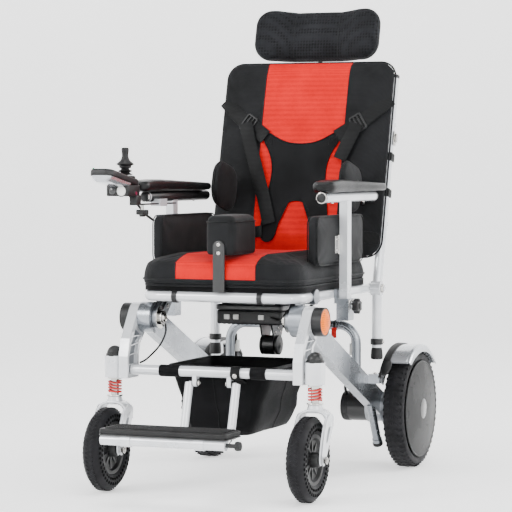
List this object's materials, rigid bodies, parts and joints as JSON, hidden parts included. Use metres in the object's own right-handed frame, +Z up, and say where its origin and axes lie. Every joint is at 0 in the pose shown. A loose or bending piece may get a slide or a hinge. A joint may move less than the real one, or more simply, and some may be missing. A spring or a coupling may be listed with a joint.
{
  "type": "power wheelchair",
  "caption": "Folding powered wheelchair with drive motors, sprung casters, tilting back, headrest, positioning pads and a joystick.",
  "frame": {"origin": "on the floor, under the middle of the overall box", "axes": "+Z up, -Y the way the sitter faces, +X the sitter's left; X = 0 is the mid-plane of the frame"},
  "size_m": [0.6256, 1.084, 1.1859],
  "materials": {
    "silver_paint": "metallic silver powder coat, semi-gloss",
    "white_paint": "gloss white powder coat",
    "black_paint": "satin black",
    "bright_steel": "bright plated steel",
    "cast_aluminium": "bead-blasted casting",
    "tyre_rubber": "matte black with a moulded tread",
    "black_plastic": "fine moulded grain",
    "gloss_dark_plastic": "gloss dark grey moulding",
    "silver_plastic": "silver painted moulding",
    "orange_lens": "clear orange prismatic lens",
    "red_spring": "gloss red coat on spring steel",
    "red_button": "gloss",
    "black_cloth": "woven nylon",
    "mesh_cloth": "spacer mesh, red centre and black sides",
    "neoprene": "bound neoprene",
    "soft_black": "soft moulded polyurethane skin",
    "battery_case": "shrink sleeve"
  },
  "bodies": {
    "rear_frame": {"main_beams": "silver_paint", "hub_pivots": "bright_steel", "hoop_brace": "silver_paint", "drive_motors": "black_paint", "gearboxes": "cast_aluminium", "fenders": "silver_plastic", "lower_struts": "silver_paint"},
    "rear_wheel_left": {"rear_tyre_left": "tyre_rubber", "rear_rim_left": "gloss_dark_plastic"},
    "rear_wheel_right": {"rear_tyre_right": "tyre_rubber", "rear_rim_right": "gloss_dark_plastic"},
    "front_frame": {"front_arms": "white_paint", "caster_housings": "white_paint", "housing_caps": "black_plastic", "front_cross_tube": "white_paint", "reflector_cups": "black_plastic", "reflector_lenses": "orange_lens", "storage_bag": "black_cloth"},
    "footrest": {"footrest_frame": "white_paint"},
    "footplate": {"footplate_pad": "soft_black"},
    "plunger": {"footplate_plunger": "black_plastic"},
    "seat": {"seat_frame": "white_paint", "seat_brackets": "cast_aluminium", "seat_pan": "black_cloth", "seat_cushion": "mesh_cloth", "post_sockets": "silver_paint", "control_box": "black_plastic", "battery_pack": "battery_case", "fold_actuator": "black_paint"},
    "pommel": {"pommel_pad": "black_cloth", "pommel_strap": "black_paint"},
    "arm_left": {"armrest_left": "white_paint", "arm_pad_left": "soft_black", "hip_pad_left": "black_cloth"},
    "arm_right": {"armrest_right": "white_paint", "arm_pad_right": "soft_black", "hip_pad_right": "black_cloth"},
    "knob_left": {"post_knob_left": "black_plastic"},
    "knob_right": {"post_knob_right": "black_plastic"},
    "controller": {"controller_case": "black_plastic", "controller_belly": "silver_plastic"},
    "gimbal": {"joystick_gimbal": "black_plastic"},
    "stick": {"joystick_stick": "black_plastic"},
    "button": {"power_button": "red_button"},
    "back": {"back_canes": "white_paint", "back_braces": "white_paint", "back_cushion": "mesh_cloth", "harness": "neoprene"},
    "trunk_left": {"trunk_pad_left": "black_cloth"},
    "trunk_right": {"trunk_pad_right": "black_cloth"},
    "headrest_mast": {"headrest_stem": "bright_steel"},
    "headrest": {"headrest_pad": "black_cloth"},
    "caster_left": {"caster_stem_left": "bright_steel", "caster_spring_left": "red_spring"},
    "fork_left": {"caster_fork_left": "white_paint"},
    "front_wheel_left": {"caster_wheel_left": "tyre_rubber"},
    "caster_right": {"caster_stem_right": "bright_steel", "caster_spring_right": "red_spring"},
    "fork_right": {"caster_fork_right": "white_paint"},
    "front_wheel_right": {"caster_wheel_right": "tyre_rubber"}
  },
  "joints": [
    {"name": "frame_fold", "type": "hinge", "parent": "rear_frame", "child": "front_frame", "pos_m": [0, -0.181, 0.409], "axis": [1, 0, 0], "range_deg": [0, 32]},
    {"name": "seat_fold", "type": "hinge", "parent": "rear_frame", "child": "seat", "pos_m": [0, -0.181, 0.409], "axis": [1, 0, 0], "range_deg": [0, 16]},
    {"name": "rear_wheel_left_spin", "type": "hinge", "parent": "rear_frame", "child": "rear_wheel_left", "pos_m": [0.277, 0.391, 0.151], "axis": [1, 0, 0], "continuous": true},
    {"name": "caster_left_swivel", "type": "hinge", "parent": "front_frame", "child": "caster_left", "pos_m": [0.256, -0.244, 0.294], "axis": [0, 0, 1], "continuous": true},
    {"name": "caster_left_spring", "type": "slide", "parent": "caster_left", "child": "fork_left", "axis": [0, 0, 1], "range_m": [0, 0.01], "stiffness_N_per_m": 12000, "springref_m": -0.02, "deforming": ["caster_spring_left"]},
    {"name": "front_wheel_left_spin", "type": "hinge", "parent": "fork_left", "child": "front_wheel_left", "pos_m": [0.256, -0.289, 0.1], "axis": [1, 0, 0], "continuous": true},
    {"name": "rear_wheel_right_spin", "type": "hinge", "parent": "rear_frame", "child": "rear_wheel_right", "pos_m": [-0.277, 0.391, 0.151], "axis": [1, 0, 0], "continuous": true},
    {"name": "caster_right_swivel", "type": "hinge", "parent": "front_frame", "child": "caster_right", "pos_m": [-0.256, -0.244, 0.294], "axis": [0, 0, 1], "continuous": true},
    {"name": "caster_right_spring", "type": "slide", "parent": "caster_right", "child": "fork_right", "axis": [0, 0, 1], "range_m": [0, 0.01], "stiffness_N_per_m": 12000, "springref_m": -0.02, "deforming": ["caster_spring_right"]},
    {"name": "front_wheel_right_spin", "type": "hinge", "parent": "fork_right", "child": "front_wheel_right", "pos_m": [-0.256, -0.289, 0.1], "axis": [1, 0, 0], "continuous": true},
    {"name": "footrest_swing", "type": "hinge", "parent": "front_frame", "child": "footrest", "pos_m": [0, -0.246, 0.262], "axis": [-1, 0, 0], "range_deg": [0, 20]},
    {"name": "footplate_flip", "type": "hinge", "parent": "footrest", "child": "footplate", "pos_m": [0, -0.527, 0.155], "axis": [1, 0, 0], "range_deg": [0, 90]},
    {"name": "plunger_pull", "type": "slide", "parent": "footrest", "child": "plunger", "axis": [1, 0, 0], "range_m": [0, 0.008], "stiffness_N_per_m": 600, "springref_m": -0.01},
    {"name": "pommel_slide", "type": "slide", "parent": "seat", "child": "pommel", "axis": [0, 1, 0], "range_m": [-0.03, 0]},
    {"name": "armrest_left_height", "type": "slide", "parent": "seat", "child": "arm_left", "axis": [0, 0, 1], "range_m": [0, 0.035]},
    {"name": "post_knob_left_turn", "type": "hinge", "parent": "seat", "child": "knob_left", "pos_m": [0.25, 0.031, 0.434], "axis": [1, 0, 0], "range_deg": [-180, 180]},
    {"name": "armrest_right_height", "type": "slide", "parent": "seat", "child": "arm_right", "axis": [0, 0, 1], "range_m": [0, 0.035]},
    {"name": "post_knob_right_turn", "type": "hinge", "parent": "seat", "child": "knob_right", "pos_m": [-0.25, 0.031, 0.434], "axis": [1, 0, 0], "range_deg": [-180, 180]},
    {"name": "controller_reach", "type": "slide", "parent": "arm_right", "child": "controller", "axis": [0, 1, 0], "range_m": [-0.05, 0]},
    {"name": "joystick_pitch", "type": "hinge", "parent": "controller", "child": "gimbal", "pos_m": [-0.236, -0.226, 0.728], "axis": [1, 0, 0], "range_deg": [-15, 15], "stiffness_Nm_per_rad": 0.6},
    {"name": "joystick_roll", "type": "hinge", "parent": "gimbal", "child": "stick", "pos_m": [-0.236, -0.226, 0.728], "axis": [0, 1, 0], "range_deg": [-15, 15], "stiffness_Nm_per_rad": 0.6},
    {"name": "button_press", "type": "slide", "parent": "controller", "child": "button", "axis": [1, 0, 0], "range_m": [-0.0012, 0], "stiffness_N_per_m": 600, "springref_m": 0.001},
    {"name": "back_recline", "type": "hinge", "parent": "seat", "child": "back", "pos_m": [0, 0.287, 0.463], "axis": [-1, 0, 0], "range_deg": [0, 30]},
    {"name": "trunk_pad_left_swing", "type": "hinge", "parent": "back", "child": "trunk_left", "pos_m": [0.184, 0.29534, 0.70312], "axis": [0, 0.2419, 0.9703], "range_deg": [-25, 0]},
    {"name": "trunk_pad_right_swing", "type": "hinge", "parent": "back", "child": "trunk_right", "pos_m": [-0.184, 0.29534, 0.70312], "axis": [0, 0.2419, 0.9703], "range_deg": [0, 25]},
    {"name": "headrest_height", "type": "slide", "parent": "back", "child": "headrest_mast", "axis": [0, 0.2419, 0.9703], "range_m": [0, 0.08]},
    {"name": "headrest_tilt", "type": "hinge", "parent": "headrest_mast", "child": "headrest", "pos_m": [0, 0.49591, 1.09421], "axis": [1, 0, 0], "range_deg": [-15, 5]}
  ],
  "couplings": [
    {"joint": "seat_fold", "follows": "frame_fold", "ratio": 0.5}
  ]
}
